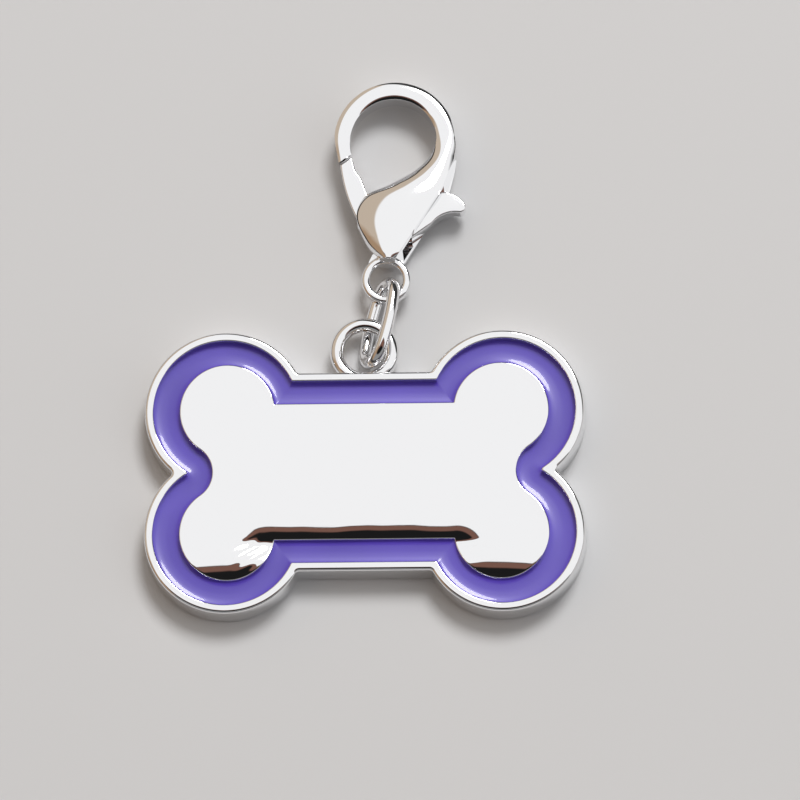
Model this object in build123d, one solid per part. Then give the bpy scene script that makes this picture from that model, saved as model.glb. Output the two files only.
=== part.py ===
from build123d import *
import os
from math import acos, asin, atan2, copysign, cos, degrees, hypot, radians, sin, sqrt, tan

# Bone-shaped pet tag on a lobster clasp, lying face up. Millimetres, +Z up.
# The origin is the centre of the tag's flat back. +Y runs from the tag to the clasp.

# Tag plate
TAG_WIDTH = 40.0            # across the lobes, at the front face
TAG_THICK = 3.2
LOBE_RADIUS = 7.4
LOBE_OVERLAP = 3.4          # how far the two lobes of one end run into each other
BAR_HEIGHT = 18.5           # of the straight part between the lobes
WALL_DRAFT = 3.0            # degrees, so the back is a little larger than the front
OUTLINE_ROUND = 0.4         # in the notches and bar corners, seen from the front
RIM_ROUND = 0.3             # outer edge of the rim
BACK_ROUND = 0.3

# Rim, enamel channel and raised centre
RIM_WIDTH = 0.8
CHANNEL_WIDTH = 2.12
CHANNEL_DEPTH = 1.5
CHANNEL_ROUND = 0.2         # in the rim's inner corners
STEP_ROUND = 0.12           # inner edge of the rim and edge of the centre
CENTRE_LOBE_EASE = 0.14     # the centre's lobes are this much smaller and nearer the middle
CENTRE_WAIST = 2.6          # radius between the centre's lobes
ENAMEL_SINK = 0.85          # enamel surface below the rim

# Cast loop on the tag's top edge
LOOP_HOLE = 1.95            # radius
LOOP_BAND = 1.2
LOOP_THICK = 1.4
LOOP_ROUND = 0.55
LOOP_STEP = 0.2             # lowest point of the hole above the bar's edge
LOOP_ROOT = 0.45            # how far the loop runs into the rim
LOOP_CLEAR = 0.16           # loop and eye above the link's lower wire
LAY_CLEAR = 0.03            # clasp body above the surface the tag lies on

# Connecting link, an oval of round wire standing on edge
LINK_INNER_LENGTH = 6.5
LINK_PLAY = 1.4             # room between the wires beside the loop's thickness
LINK_WIRE = 1.15            # thickness in the link's plane
LINK_END_RADIUS = 1.7       # of the wire's middle line at each end
LINK_EYE_CLEAR = 0.925      # wire to the eye's wall on each side, across the link's plane
LINK_SEAM = 0.12            # butt joint of the wire
LINK_TURN = 13.0            # degrees, lean of its length to the right
LINK_LEAN = 27.5            # degrees, lean of its upper wire to the right
LINK_REACH = 2.9            # its middle from the loop's middle, along the link
LINK_OFFSET = 0.75          # its middle from the loop's middle, across the link

# Clasp eye, the origin of the clasp's own plan
EYE_HOLE = 1.5              # radius
EYE_BAND = 0.75
EYE_THICK = 1.25
EYE_ROUND = 0.3
EYE_REACH = 4.04            # eye's middle from the link's middle, along the link
EYE_OFFSET = -0.29          # eye's middle from the link's middle, across the link
NECK_HALF = 1.6             # half width of the neck between eye and body

# Clasp hook, a round arch about its own middle
ARCH = Vector(0.82, 13.02)
ARCH_RADIUS = 5.56          # outside
HOOK_TIP_WIDTH = 1.42
HOOK_ARM_WIDTH = 1.75
HOOK_TIP_THICK = 2.2
HOOK_THICK = 2.6
HOOK_TIP_ANGLE = 200.0      # degrees round the arch, from the right arm
HOOK_SECTIONS = 8
HOOK_POWER = 3.2            # squareness of the hook's section
BODY_POWER = 2.4            # squareness of the body's section
SECTION_POINTS = 16

# Clasp body below the arch: inner edge, outer edge and thickness of each section
BODY_THICK = 4.4
BODY_SECTIONS = (
    (Vector(4.08, 11.64), Vector(6.41, 11.46), 2.9),
    (Vector(2.61, 10.13), Vector(6.05, 9.57), 3.4),
    (Vector(0.51, 8.90), Vector(5.55, 7.90), 4.05),
    (Vector(-1.82, 7.72), Vector(4.75, 6.20), 4.35),
    (Vector(-2.68, 5.76), Vector(3.80, 4.40), BODY_THICK),
    (Vector(-2.15, 3.89), Vector(2.75, 3.00), BODY_THICK),
    (Vector(-1.14, 2.29), Vector(1.75, 1.91), 4.2),
)
CHEEK_TOP = Vector(5.17, 8.37)    # ends of the straight cut down the body's right side
CHEEK_FOOT = Vector(1.16, 2.04)
CHEEK_RUN = Vector(6.45, 11.8)     # where the cut runs out on the arm
REAR_CHEEK_PROUD = 0.5      # the rear cheek stands out past the front one

# Gate lever, in the clasp's plan
PIVOT = Vector(0.5, 5.0)
HUB_RADIUS = 1.3
HUB_ARC = (215, 250, 285)    # degrees round the pivot that the hub's edge shows
LEVER_THICK = 1.6
LEVER_SIDE_CLEAR = 0.1      # to each cheek
LEVER_ROUND = 0.15          # along its edges
LEVER_CORNER = 0.3          # at its corners, seen from the front
GATE_TIP_CLEAR = 0.12
GATE_TIP_INSET = 0.06       # the gate's tip is narrower than the hook's
GATE_BULGE = Vector(-3.66, 8.15)
GATE_ROOT = Vector(-2.55, 5.45)
GATE_INNER = (Vector(-1.65, 7.95), Vector(-2.28, 9.60), Vector(-2.79, 10.30))
LEVER_TOP = (Vector(1.50, 6.60), Vector(0.45, 6.45))
HEEL = Vector(2.35, 3.90)
THUMB_UNDER = (Vector(4.20, 5.20), Vector(5.40, 6.08), Vector(6.80, 6.20))
THUMB_TIP = Vector(7.30, 6.68)
THUMB_TOP = (Vector(7.15, 7.20), Vector(6.50, 7.80), Vector(5.15, 8.18))

# Slot between the cheeks, open to the gate's side and the thumb's side
SLOT_FLOOR = 2.6
SLOT_OUTLINE = (
    (-6.0, 4.90), (-2.15, 4.90), (-1.30, 3.70), (-0.75, SLOT_FLOOR), (4.0, SLOT_FLOOR),
    (9.0, 5.0), (9.0, 10.55), (1.6, 6.85), (0.35, 8.30), (0.35, 9.70), (-6.0, 9.70),
)

# Pin and spring
PIN_RADIUS = 0.5
PIN_RUNNING_CLEAR = 0.05
PIN_RECESS = 0.15           # its end below the back of the body
PIN_BLIND = 0.8             # its depth in the front cheek
SPRING_THICK = 0.2
SPRING_WIDTH = 1.3
SPRING_BEND = 0.3
SPRING_CLEAR = 0.04         # to the slot's floor and the lever's heel
SPRING_FOOT_X = 1.1
SPRING_FOLD_X = -0.45
SPRING_TIP_X = 2.0

SAME = 1e-6                 # two lengths this close are equal
FAR = 30.0                  # larger than any piece


def unit(angle):
    """Unit vector at an angle in degrees."""
    return Vector(cos(radians(angle)), sin(radians(angle)))


def angle_of(vector):
    return degrees(atan2(vector.Y, vector.X))


# Middle of the upper right lobe
LOBE = Vector(TAG_WIDTH / 2 - LOBE_RADIUS, LOBE_RADIUS - LOBE_OVERLAP / 2)


def bone_face(inset, waist_round=0.0, corner_round=0.0, lobe_ease=0.0):
    """The bone outline drawn in by inset. A waist round replaces the notch at each end."""
    middle = LOBE - Vector(lobe_ease, 0)
    radius = LOBE_RADIUS - inset - lobe_ease
    half = BAR_HEIGHT / 2 - inset
    corner = Vector(middle.X - sqrt(radius**2 - (half - middle.Y) ** 2), half)
    notch = Vector(middle.X + sqrt((radius + waist_round) ** 2 - middle.Y**2), 0)
    end = middle + (notch - middle).normalized() * radius
    crown = middle + unit((angle_of(corner - middle) + angle_of(end - middle)) / 2) * radius
    lobe = ThreePointArc(corner, crown, end)
    right = [lobe, mirror(lobe, Plane.XZ)]
    if waist_round:
        waist = notch - Vector(waist_round, 0)
        right.append(ThreePointArc(end, waist, Vector(end.X, -end.Y)))
    bar = Line(Vector(-corner.X, half), corner)
    left = [mirror(edge, Plane.YZ) for edge in right]
    face = make_face(right + left + [bar, mirror(bar, Plane.XZ)])
    if corner_round:
        sharp = [v for v in face.vertices() if abs(v.Y) < SAME or abs(abs(v.Y) - half) < SAME]
        face = fillet(sharp, corner_round)
    return face


CHANNEL_FACE = bone_face(RIM_WIDTH, corner_round=CHANNEL_ROUND)
CENTRE_FACE = bone_face(RIM_WIDTH + CHANNEL_WIDTH, waist_round=CENTRE_WAIST, lobe_ease=CENTRE_LOBE_EASE)
CHANNEL_FLOOR = TAG_THICK - CHANNEL_DEPTH


def raised(face, low, high):
    """A prism on a plan outline, from one height to another."""
    return extrude(Pos(0, 0, low) * face, high - low)


def flat_ring(hole, band, thick, edge_round):
    """A ring about the origin with rounded edges, half above and half below the plan."""
    plan = Circle(hole + band) - Circle(hole)
    ring = extrude(plan, thick / 2, both=True)
    return fillet(ring.edges(), edge_round)


# The link's frame: along its length, across its plane and up its plane
LINK_ALONG = Vector(sin(radians(LINK_TURN)), cos(radians(LINK_TURN)), 0)
LINK_SIDE = Vector(cos(radians(LINK_TURN)), -sin(radians(LINK_TURN)), 0)
LINK_UP = LINK_SIDE * sin(radians(LINK_LEAN)) + Vector(0, 0, cos(radians(LINK_LEAN)))
LINK_INNER_WIDTH = max(LOOP_THICK, EYE_THICK) + LINK_PLAY
LINK_WIDTH = 2 * (EYE_HOLE - LINK_EYE_CLEAR)
WIRE_RISE = hypot(LINK_WIRE / 2 * cos(radians(LINK_LEAN)), LINK_WIDTH / 2 * sin(radians(LINK_LEAN)))
WIRE_SPREAD = (LINK_INNER_WIDTH + LINK_WIRE) / 2

# Heights: the link's lower wire and the clasp's back lie on the same surface as the tag
LINK_Z = WIRE_SPREAD * cos(radians(LINK_LEAN)) + WIRE_RISE
LOOP_Z = 2 * WIRE_RISE + LOOP_CLEAR + LOOP_THICK / 2
CLASP_Z = max(BODY_THICK / 2 + LAY_CLEAR, 2 * WIRE_RISE + LOOP_CLEAR + EYE_THICK / 2)

LOOP_MIDDLE = Vector(0, BAR_HEIGHT / 2 + LOOP_STEP + LOOP_HOLE, LOOP_Z)
LINK_PLAN = Vector(LOOP_MIDDLE.X, LOOP_MIDDLE.Y) + LINK_ALONG * LINK_REACH + LINK_SIDE * LINK_OFFSET
LINK_MIDDLE = LINK_PLAN + Vector(0, 0, LINK_Z)
EYE_PLAN = LINK_PLAN + LINK_ALONG * EYE_REACH + LINK_SIDE * EYE_OFFSET
CLASP_PLACE = Pos(EYE_PLAN.X, EYE_PLAN.Y, CLASP_Z)


def tag_body():
    back_growth = TAG_THICK * tan(radians(WALL_DRAFT))
    front = Pos(0, 0, TAG_THICK) * bone_face(0, corner_round=OUTLINE_ROUND)
    plate = loft([bone_face(-back_growth, corner_round=OUTLINE_ROUND), front], ruled=True)
    plate = fillet(plate.faces().sort_by(Axis.Z)[-1].edges(), RIM_ROUND)
    plate = fillet(plate.faces().sort_by(Axis.Z)[0].edges(), BACK_ROUND)
    plate -= raised(CHANNEL_FACE - CENTRE_FACE, CHANNEL_FLOOR, FAR)
    front_faces = plate.faces().filter_by(Axis.Z).filter_by_position(Axis.Z, TAG_THICK, TAG_THICK)
    rim, centre = front_faces.sort_by(SortBy.AREA)
    plate = fillet(rim.inner_wires()[0].edges() + centre.edges(), STEP_ROUND)
    loop = Pos(*LOOP_MIDDLE) * flat_ring(LOOP_HOLE, LOOP_BAND, LOOP_THICK, LOOP_ROUND)
    loop = split(loop, Plane.XZ.offset(-(BAR_HEIGHT / 2 - LOOP_ROOT)), keep=Keep.BOTTOM)
    return plate + loop


def enamel_border():
    return raised(CHANNEL_FACE - CENTRE_FACE, CHANNEL_FLOOR, TAG_THICK - ENAMEL_SINK)


def wire_arc(middle, radius, start, end):
    """A stretch of the link's wire bent about a point of its own plan."""
    wire = Plane.XZ * Pos(radius, 0) * Ellipse(LINK_WIRE / 2, LINK_WIDTH / 2)
    return Pos(*middle) * Rot(0, 0, start) * revolve(wire, Axis.Z, end - start)


def connecting_link():
    """Two wide arcs for the sides and two tight ones for the ends, each running into the next."""
    end_middle = (LINK_INNER_LENGTH + LINK_WIRE) / 2 - LINK_END_RADIUS
    bulge = WIRE_SPREAD - LINK_END_RADIUS
    side_radius = (WIRE_SPREAD**2 + end_middle**2 - LINK_END_RADIUS**2) / (2 * bulge)
    side_middle = WIRE_SPREAD - side_radius
    half_side = degrees(atan2(end_middle, -side_middle))
    side = wire_arc((side_middle, 0), side_radius, -half_side, half_side)
    end = wire_arc((0, end_middle), LINK_END_RADIUS, half_side, 180 - half_side)
    link = side + mirror(side, Plane.YZ) + end + mirror(end, Plane.XZ)
    link -= Pos(-WIRE_SPREAD, 0, 0) * Box(2 * LINK_WIRE, LINK_SEAM, 2 * LINK_WIDTH)
    stand = Plane(origin=LINK_MIDDLE, x_dir=LINK_UP, z_dir=LINK_UP.cross(LINK_ALONG))
    return stand * link


def rounded_section(inner, outer, thick, power):
    """A section across the clasp, from its inner to its outer edge, as a rounded oblong."""
    chord = outer - inner
    plane = Plane(origin=(inner + outer) / 2, x_dir=chord, z_dir=chord.cross(Vector(0, 0, 1)))
    points = []
    for step in range(SECTION_POINTS):
        turn = unit(360 * step / SECTION_POINTS)
        across = copysign(abs(turn.X) ** (2 / power), turn.X) * chord.length / 2
        up = copysign(abs(turn.Y) ** (2 / power), turn.Y) * thick / 2
        points.append((across, up))
    return plane * make_face(Spline(points, periodic=True))


def hook_tip():
    """Inner and outer end of the hook's tip, which faces the pivot."""
    middle = ARCH + unit(HOOK_TIP_ANGLE) * (ARCH_RADIUS - HOOK_TIP_WIDTH / 2)
    across = unit(angle_of(middle - PIVOT) + 90) * HOOK_TIP_WIDTH / 2
    return middle - across, middle + across


def clasp_sections():
    inner, outer = hook_tip()
    sections = [rounded_section(inner, outer, HOOK_TIP_THICK, HOOK_POWER)]
    for step in range(1, HOOK_SECTIONS):
        share = step / (HOOK_SECTIONS - 1)
        spoke = unit(HOOK_TIP_ANGLE * (1 - share))
        width = HOOK_TIP_WIDTH + (HOOK_ARM_WIDTH - HOOK_TIP_WIDTH) * share
        outer = ARCH + spoke * ARCH_RADIUS
        sections.append(rounded_section(outer - spoke * width, outer, HOOK_THICK, HOOK_POWER))
    for inner, outer, thick in BODY_SECTIONS:
        sections.append(rounded_section(inner, outer, thick, BODY_POWER))
    return sections


def clasp_body():
    casting = loft(clasp_sections())
    edge = (CHEEK_TOP - CHEEK_FOOT).normalized()
    beside = Vector(edge.Y, -edge.X)
    slot_half = LEVER_THICK / 2 + LEVER_SIDE_CLEAR
    for low, high, proud in ((-slot_half, FAR, 0), (-FAR, -slot_half, REAR_CHEEK_PROUD)):
        foot, top, run = (point + beside * proud for point in (CHEEK_FOOT, CHEEK_TOP, CHEEK_RUN))
        waste = Polygon(foot - edge * FAR, foot - edge * FAR + beside * FAR,
                        run + beside * FAR, run, top, align=None)
        casting -= raised(waste, low, high)
    eye = flat_ring(EYE_HOLE, EYE_BAND, EYE_THICK, EYE_ROUND)
    neck = Polygon((-NECK_HALF, EYE_HOLE), (-NECK_HALF, 0), (NECK_HALF, 0), (NECK_HALF, EYE_HOLE),
                   (CHEEK_FOOT.X, SLOT_FLOOR), (-CHEEK_FOOT.X, SLOT_FLOOR), align=None)
    neck_solid = extrude(neck, EYE_THICK / 2 - EYE_ROUND, both=True)
    neck_solid -= Cylinder(EYE_HOLE + EYE_BAND / 2, FAR)
    casting += eye + neck_solid
    casting -= extrude(Polygon(*SLOT_OUTLINE, align=None), slot_half, both=True)
    casting -= Cylinder(EYE_HOLE, EYE_THICK)
    pin_hole = Circle(PIN_RADIUS).moved(Pos(PIVOT.X, PIVOT.Y))
    casting -= raised(pin_hole, -FAR, slot_half + PIN_BLIND)
    return CLASP_PLACE * casting


def lever_face():
    """Plan of the lever: gate to the left, hub at the pivot, thumb piece to the right."""
    tip_inner, tip_outer = hook_tip()
    tip_middle = (tip_inner + tip_outer) / 2 - PIVOT
    tip_radius = tip_middle.length - GATE_TIP_CLEAR
    half_turn = degrees(asin((HOOK_TIP_WIDTH / 2 - GATE_TIP_INSET) / tip_radius))
    gate_angle = angle_of(tip_middle)
    tip = [PIVOT + unit(gate_angle + turn) * tip_radius for turn in (-half_turn, 0, half_turn)]
    hub = [PIVOT + unit(angle) * HUB_RADIUS for angle in HUB_ARC]
    outline = [
        Line(HEEL, THUMB_UNDER[0]),
        ThreePointArc(*THUMB_UNDER),
        ThreePointArc(THUMB_UNDER[-1], THUMB_TIP, THUMB_TOP[0]),
        ThreePointArc(*THUMB_TOP),
        Polyline(THUMB_TOP[-1], *LEVER_TOP, *GATE_INNER, tip[0]),
        ThreePointArc(*tip),
        ThreePointArc(tip[-1], GATE_BULGE, GATE_ROOT),
        Line(GATE_ROOT, hub[0]),
        ThreePointArc(*hub),
        Line(hub[-1], HEEL),
    ]
    face = make_face(outline)
    return fillet(face.vertices(), LEVER_CORNER)


def gate_lever():
    lever = extrude(lever_face(), LEVER_THICK / 2, both=True)
    faces = lever.faces().sort_by(Axis.Z)
    lever = fillet(faces[0].edges() + faces[-1].edges(), LEVER_ROUND)
    lever -= Pos(PIVOT.X, PIVOT.Y, 0) * Cylinder(PIN_RADIUS + PIN_RUNNING_CLEAR, FAR)
    return CLASP_PLACE * lever


def pivot_pin():
    back = PIN_RECESS - BODY_THICK / 2
    end = LEVER_THICK / 2 + LEVER_SIDE_CLEAR + PIN_BLIND
    return CLASP_PLACE * raised(Circle(PIN_RADIUS).moved(Pos(PIVOT.X, PIVOT.Y)), back, end)


def gate_spring():
    """A bent leaf: one leg on the slot's floor, the other under the lever's heel."""
    foot_y = SLOT_FLOOR + SPRING_CLEAR + SPRING_THICK / 2
    tip = Vector(SPRING_TIP_X, HEEL.Y - SPRING_CLEAR - SPRING_THICK)
    fold = Vector(SPRING_FOLD_X, foot_y + SPRING_BEND)
    reach = tip - fold
    touch_angle = angle_of(reach) + degrees(acos(SPRING_BEND / reach.length))
    touch = fold + unit(touch_angle) * SPRING_BEND
    turn = fold + unit((touch_angle + 270) / 2) * SPRING_BEND
    start = fold - Vector(0, SPRING_BEND)
    path = Line((SPRING_FOOT_X, foot_y), start) + ThreePointArc(start, turn, touch) + Line(touch, tip)
    leaf = trace(path, SPRING_THICK)
    return CLASP_PLACE * extrude(leaf, SPRING_WIDTH / 2, both=True)


os.makedirs("parts", exist_ok=True)
for make in (tag_body, enamel_border, connecting_link, clasp_body, gate_lever, pivot_pin, gate_spring):
    export_step(make(), f"parts/{make.__name__}.step")
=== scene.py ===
from math import acos, asin, atan2, cos, degrees, hypot, pi, radians, sin, sqrt, tan

import bmesh
import bpy
import numpy as np
from mathutils import Matrix, Vector


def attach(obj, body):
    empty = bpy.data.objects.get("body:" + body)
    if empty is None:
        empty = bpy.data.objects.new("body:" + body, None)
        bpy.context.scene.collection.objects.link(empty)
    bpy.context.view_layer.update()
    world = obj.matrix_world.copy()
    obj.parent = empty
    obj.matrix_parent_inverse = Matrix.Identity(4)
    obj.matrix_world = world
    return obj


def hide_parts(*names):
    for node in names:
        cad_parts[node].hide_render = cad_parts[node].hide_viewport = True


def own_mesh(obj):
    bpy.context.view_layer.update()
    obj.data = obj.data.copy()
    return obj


# Bone-shaped pet tag on a lobster clasp. Sizes are in millimetres until a mesh is made.

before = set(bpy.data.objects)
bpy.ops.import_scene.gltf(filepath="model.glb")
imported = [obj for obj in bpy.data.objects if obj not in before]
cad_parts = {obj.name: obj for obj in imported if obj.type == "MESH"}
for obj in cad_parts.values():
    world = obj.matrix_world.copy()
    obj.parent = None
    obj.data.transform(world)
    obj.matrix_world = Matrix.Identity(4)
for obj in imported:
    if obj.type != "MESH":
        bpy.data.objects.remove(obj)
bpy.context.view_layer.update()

MM = 0.001
FAR = 30.0                  # larger than any piece

# Tag plate, rim, channel and raised centre
TAG_WIDTH = 40.0            # across the lobes, at the front face
TAG_THICK = 3.2
LOBE_RADIUS = 7.4
LOBE_OVERLAP = 3.4          # how far the two lobes of one end run into each other
BAR_HEIGHT = 18.5           # of the straight part between the lobes
WALL_DRAFT = 3.0            # degrees, so the back is a little larger than the front
OUTLINE_ROUND = 0.4         # in the notches and bar corners, seen from the front
RIM_ROUND = 0.3             # outer edge of the rim
BACK_ROUND = 0.3
RIM_WIDTH = 0.8
CHANNEL_WIDTH = 2.12
CHANNEL_DEPTH = 1.5
CHANNEL_ROUND = 0.2         # in the rim's inner corners
STEP_ROUND = 0.12           # inner edge of the rim and edge of the centre
CENTRE_LOBE_EASE = 0.14     # the centre's lobes are this much smaller and nearer the middle
CENTRE_WAIST = 2.6          # radius between the centre's lobes
CENTRE_CORNER = 0.05        # radius where the centre's bar meets its lobes
ENAMEL_SINK = 0.85          # enamel surface below the rim
MENISCUS_RISE = 0.18        # enamel drawn up its channel's walls
MENISCUS_REACH = 0.35

# The centre's face, which rolls off to its lower edges
BAR_FALL = (2.1, 0.37)      # width and drop along the bar's lower edge
LOBE_FALL = (2.5, 0.43)     # width and drop at the foot of each lower lobe
LOBE_FALL_TILT = 0.06       # the lobes' falls start higher on the side of the bar
FALL_RUN_OUT = 0.3          # share of its width in which a fall levels out beyond its edge
FALL_CURL = (5.6, 4.2)      # how far the bar's fall runs on into the left and the right lobe
FALL_RETURN = 1.8           # how soon the bar's fall comes back to level below its edge
FALL_BLEND = 4              # the higher, the more the deeper of two falls counts
FALL_WAVES = ((0.07, 0.55, 0.6), (0.035, 1.31, 2.2), (0.008, 3.1, 0.0))    # height, rate and phase
FACE_REACH = 3.4            # how far the face's rings run in from its edge
RIPPLE_PLACE = (-10.4, -7.5)    # a few polishing ripples by the left corner
RIPPLE_REACH = 1.2
RIPPLE_LENGTH = 0.8
RIPPLE_HEIGHT = 0.032
RIPPLE_WAY = (0.5, -0.86)   # across the ripples

# Cast loop on the tag's top edge
LOOP_HOLE = 1.95            # radius
LOOP_BAND = 1.2
LOOP_THICK = 1.4
LOOP_ROUND = 0.55
LOOP_STEP = 0.2             # lowest point of the hole above the bar's edge
LOOP_ROOT = 0.45            # how far the loop runs into the rim
LOOP_CLEAR = 0.16           # loop and eye above the link's lower wire

# Connecting link, an oval of round wire standing on edge
LINK_INNER_LENGTH = 6.5
LINK_PLAY = 1.4             # room between the wires beside the loop's thickness
LINK_WIRE = 1.15            # thickness in the link's plane
LINK_WIDTH = 1.15           # thickness across the link's plane
LINK_END_RADIUS = 1.7       # of the wire's middle line at each end
LINK_SEAM = 0.12            # butt joint of the wire
LINK_TURN = 13.0            # degrees, lean of its length to the right
LINK_LEAN = 27.5            # degrees, lean of its upper wire to the right
LINK_REACH = 2.9            # its middle from the loop's middle, along the link
LINK_OFFSET = 0.75          # its middle from the loop's middle, across the link

# Clasp eye, the origin of the clasp's own plan
LAY_CLEAR = 0.03            # clasp body above the surface the tag lies on
EYE_HOLE = 1.5              # radius
EYE_BAND = 0.75
EYE_THICK = 1.25
EYE_ROUND = 0.3
EYE_REACH = 4.04            # eye's middle from the link's middle, along the link
EYE_OFFSET = -0.29          # eye's middle from the link's middle, across the link
NECK_HALF = 1.6             # half width of the neck between eye and body

# Clasp hook, a round arch about its own middle
ARCH = np.array((0.82, 13.02))
ARCH_RADIUS = 5.56          # outside
HOOK_TIP_WIDTH = 1.42
HOOK_ARM_WIDTH = 1.75
HOOK_TIP_THICK = 2.2
HOOK_THICK = 2.6
HOOK_TIP_ANGLE = 200.0      # degrees round the arch, from the right arm
HOOK_TIP_EDGE = 0.04        # chamfer round the tip
HOOK_SECTIONS = 8
HOOK_POWER = 2.9            # squareness of the hook's section
HOOK_WALL = 0.875           # share of a section's half thickness that is an upright wall

# Clasp body below the arch: inner edge, outer edge and thickness of each section
BODY_POWER = 2.4
BODY_WALL = 0.62
BODY_THICK = 4.4
BODY_SECTIONS = (
    ((4.08, 11.64), (6.41, 11.46), 2.9),
    ((2.61, 10.13), (6.05, 9.57), 3.4),
    ((0.51, 8.90), (5.55, 7.90), 4.05),
    ((-1.82, 7.72), (4.75, 6.20), 4.35),
    ((-2.68, 5.76), (3.80, 4.40), BODY_THICK),
    ((-2.15, 3.89), (2.75, 3.00), BODY_THICK),
    ((-1.14, 2.29), (1.75, 1.91), 4.25),
    ((-0.60, 1.80), (1.12, 1.62), 4.15),
)
BODY_END_ROUND = 0.12
CHEEK_TOP = np.array((5.17, 8.37))      # ends of the straight cut down the body's right side
CHEEK_FOOT = np.array((1.16, 2.04))
CHEEK_RUN = np.array((6.45, 11.8))      # where the cut runs out on the arm
REAR_CHEEK_PROUD = 0.5      # the rear cheek stands out past the front one

# Gate lever, in the clasp's plan
PIVOT = np.array((0.5, 5.0))
HUB_RADIUS = 1.3
HUB_ARC = (215, 250, 285)   # degrees round the pivot that the hub's edge shows
LEVER_THICK = 1.6
LEVER_SIDE_CLEAR = 0.1      # to each cheek
LEVER_ROUND = 0.15          # along its edges
GATE_TIP_CLEAR = 0.12
GATE_TIP_INSET = 0.06       # the gate's tip is narrower than the hook's
GATE_BULGE = (-3.66, 8.15)
GATE_ROOT = (-2.55, 5.45)
GATE_INNER = ((-1.65, 7.95), (-2.28, 9.60), (-2.79, 10.30))
LEVER_TOP = ((1.50, 6.60), (0.45, 6.45))
HEEL = (2.35, 3.90)
THUMB_UNDER = ((4.20, 5.20), (5.40, 6.08), (6.80, 6.20))
THUMB_TIP = (7.30, 6.68)
THUMB_TOP = ((7.15, 7.20), (6.50, 7.80), (5.15, 8.18))

# Slot between the cheeks, open to the gate's side and the thumb's side
SLOT_HALF = LEVER_THICK / 2 + LEVER_SIDE_CLEAR
SLOT_FLOOR = 2.6
SLOT_OUTLINE = (
    (-6.0, 4.90), (-2.15, 4.90), (-1.30, 3.70), (-0.75, SLOT_FLOOR), (4.0, SLOT_FLOOR),
    (9.0, 5.0), (9.0, 10.55), (1.6, 6.85), (0.35, 8.30), (0.35, 9.70), (-6.0, 9.70),
)

# Pin and spring
PIN_RADIUS = 0.5
PIN_RUNNING_CLEAR = 0.05
PIN_RECESS = 0.15           # its end below the back of the body
PIN_BLIND = 0.8             # its depth in the front cheek
PIN_CHAMFER = 0.08
PIN_DIMPLE = (0.175, 0.25, 0.06)    # inner radius, outer radius and depth, in its rear end
SPRING_THICK = 0.2
SPRING_WIDTH = 1.3
SPRING_BEND = 0.3
SPRING_CLEAR = 0.04         # to the slot's floor and the lever's heel
SPRING_FOOT_X = 1.1
SPRING_FOLD_X = -0.45
SPRING_TIP_X = 2.0

# Fineness of the meshes: points or steps along each stretch
BAR_STEPS = 40
CORNER_STEPS = 20
LOBE_STEPS = 120
NOTCH_STEPS = 10
FACE_STEPS = 36
ENAMEL_STEPS = 24
ROUND_STEPS = 6             # of a quarter round
LOOP_AROUND = 128
EYE_AROUND = 96
LINK_ARC_STEPS = 28
WIRE_AROUND = 40
SECTION_AROUND = 96
SPAN_STEPS = 16             # between two of the clasp's given sections
UNDER_STEPS = 6
THUMB_STEPS = 16
LEVER_TOP_STEPS = 4
GATE_TIP_STEPS = 8
BULGE_STEPS = 24
HUB_STEPS = 10
HUB_SIDE_STEPS = 3
PLATE_BEVEL_STEPS = 4
PIN_AROUND = 48
SPRING_LEG_STEPS = 6
SPRING_FOLD_STEPS = 16
SHARP_ANGLE = 20            # degrees, above which an edge is drawn sharp
MERGE_DISTANCE = 1e-6       # metres


# Plan and mesh helpers

def unit(angle):
    """Unit vector in the plan at an angle in degrees."""
    return np.array((cos(radians(angle)), sin(radians(angle))))


def angle_of(vector):
    """Angle in degrees of a vector in the plan."""
    return degrees(atan2(vector[1], vector[0]))


def arc(centre, radius, start, end, steps):
    """Points on an arc, its end left out."""
    return [centre + unit(start + (end - start) * i / steps) * radius for i in range(steps)]


def three_point_arc(start, middle, end, steps):
    """Points on the arc through three points, its end left out."""
    a, b, c = (np.asarray(p, float) for p in (start, middle, end))
    lines = np.array((b - a, c - a)) * 2
    centre = np.linalg.solve(lines, np.array((b @ b - a @ a, c @ c - a @ a)))
    first, mid, last = (angle_of(p - centre) for p in (a, b, c))
    sweep = (last - first) % 360
    if (mid - first) % 360 > sweep:
        sweep -= 360
    return arc(centre, np.linalg.norm(a - centre), first, first + sweep, steps)


def straight(start, end, steps):
    """Points on a line, its end left out."""
    start, end = np.asarray(start, float), np.asarray(end, float)
    return [start + (end - start) * i / steps for i in range(steps)]


def at_height(outline, z):
    """A plan outline as points at one height."""
    return np.column_stack((np.asarray(outline), np.full(len(outline), z)))


def in_scene(name, data):
    """A new object in the scene that holds a mesh, curve, lamp or camera."""
    item = bpy.data.objects.new(name, data)
    bpy.context.scene.collection.objects.link(item)
    return item


def smooth(mesh):
    """Shades a mesh smooth but for its sharp edges."""
    mesh.shade_smooth()
    mesh.set_sharp_from_angle(angle=radians(SHARP_ANGLE))


def ring_faces(rows, count, joined):
    """Faces between rows of points. The last row joins the first, or else both ends are closed."""
    faces = []
    for row in range(rows if joined else rows - 1):
        low = row * count
        high = (row + 1) % rows * count
        faces += [(low + i, low + (i + 1) % count, high + (i + 1) % count, high + i) for i in range(count)]
    if not joined:
        faces.append(tuple(range(count))[::-1])
        faces.append(tuple(range((rows - 1) * count, rows * count)))
    return faces


def skinned(name, rings, joined=False):
    """A closed object drawn through rings that have the same number of points."""
    work = bmesh.new()
    points = [work.verts.new(Vector(p) * MM) for p in np.vstack(rings)]
    for face in ring_faces(len(rings), len(rings[0]), joined):
        work.faces.new([points[i] for i in face])
    bmesh.ops.recalc_face_normals(work, faces=work.faces)
    mesh = bpy.data.meshes.new(name)
    work.to_mesh(mesh)
    work.free()
    smooth(mesh)
    return in_scene(name, mesh)


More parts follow.
